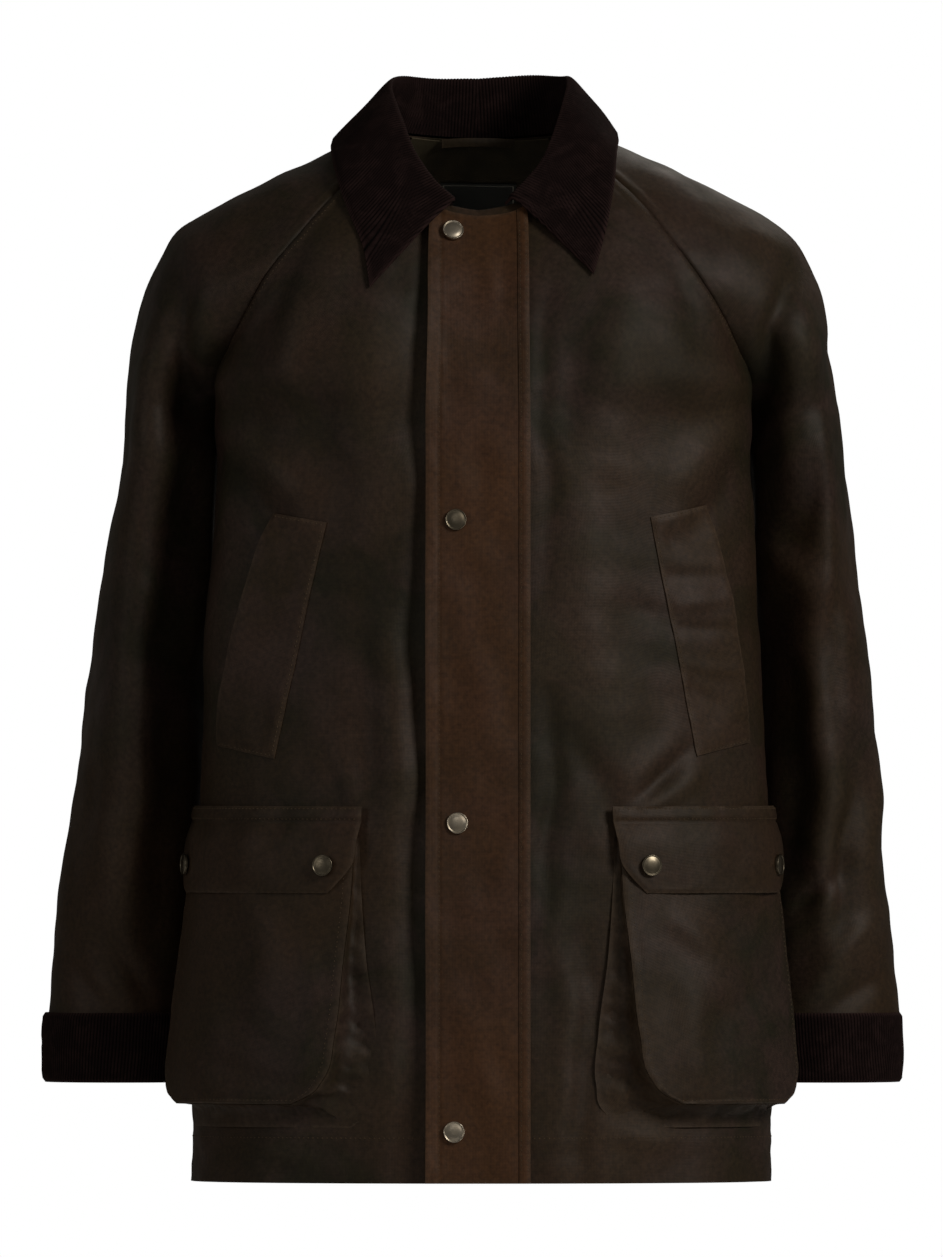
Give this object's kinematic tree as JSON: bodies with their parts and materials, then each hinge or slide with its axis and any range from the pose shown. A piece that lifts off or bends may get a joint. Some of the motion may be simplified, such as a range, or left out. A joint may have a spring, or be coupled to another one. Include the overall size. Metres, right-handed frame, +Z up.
{
  "type": "waxed cotton jacket",
  "caption": "Hip-length waxed cotton jacket with raglan sleeves, corduroy collar and turned-back cuffs, storm flap over the front, slanted hand pockets and bellows pockets with snapped flaps.",
  "frame": {"origin": "centre of the neck between the shoulders, at the height of the side of the neck seam, where the wearer's shoulders hold the jacket", "axes": "+X towards the wearer's left, +Y towards the back, +Z up; the front faces -Y"},
  "size_m": [0.6377, 0.3248, 0.8175],
  "materials": {
    "waxed_cotton": "satin",
    "waxed_cotton_flap": "satin",
    "corduroy": "matte",
    "lining": "matte",
    "label_satin": "satin",
    "snap_nickel": "satin"
  },
  "bodies": {
    "root": {"front_right": "waxed_cotton", "front_left": "waxed_cotton", "back": "waxed_cotton", "sleeve_right": "waxed_cotton", "sleeve_left": "waxed_cotton", "pocket_front_right": "waxed_cotton", "pocket_front_left": "waxed_cotton", "pocket_gusset_right": "waxed_cotton", "pocket_gusset_left": "waxed_cotton", "pocket_flap_right": "waxed_cotton", "pocket_flap_left": "waxed_cotton", "storm_flap": "waxed_cotton_flap", "flap_band": "waxed_cotton_flap", "hand_pocket_right": "waxed_cotton_flap", "hand_pocket_left": "waxed_cotton_flap", "collar": "corduroy", "cuff_right": "corduroy", "cuff_left": "corduroy", "back_lining": "lining", "hanger_loop": "lining", "neck_label": "label_satin", "snap_front_1": "snap_nickel", "snap_front_2": "snap_nickel", "snap_front_3": "snap_nickel", "snap_front_4": "snap_nickel", "snap_pocket_right_inner": "snap_nickel", "snap_pocket_right_outer": "snap_nickel", "snap_pocket_left_inner": "snap_nickel", "snap_pocket_left_outer": "snap_nickel"}
  },
  "joints": []
}
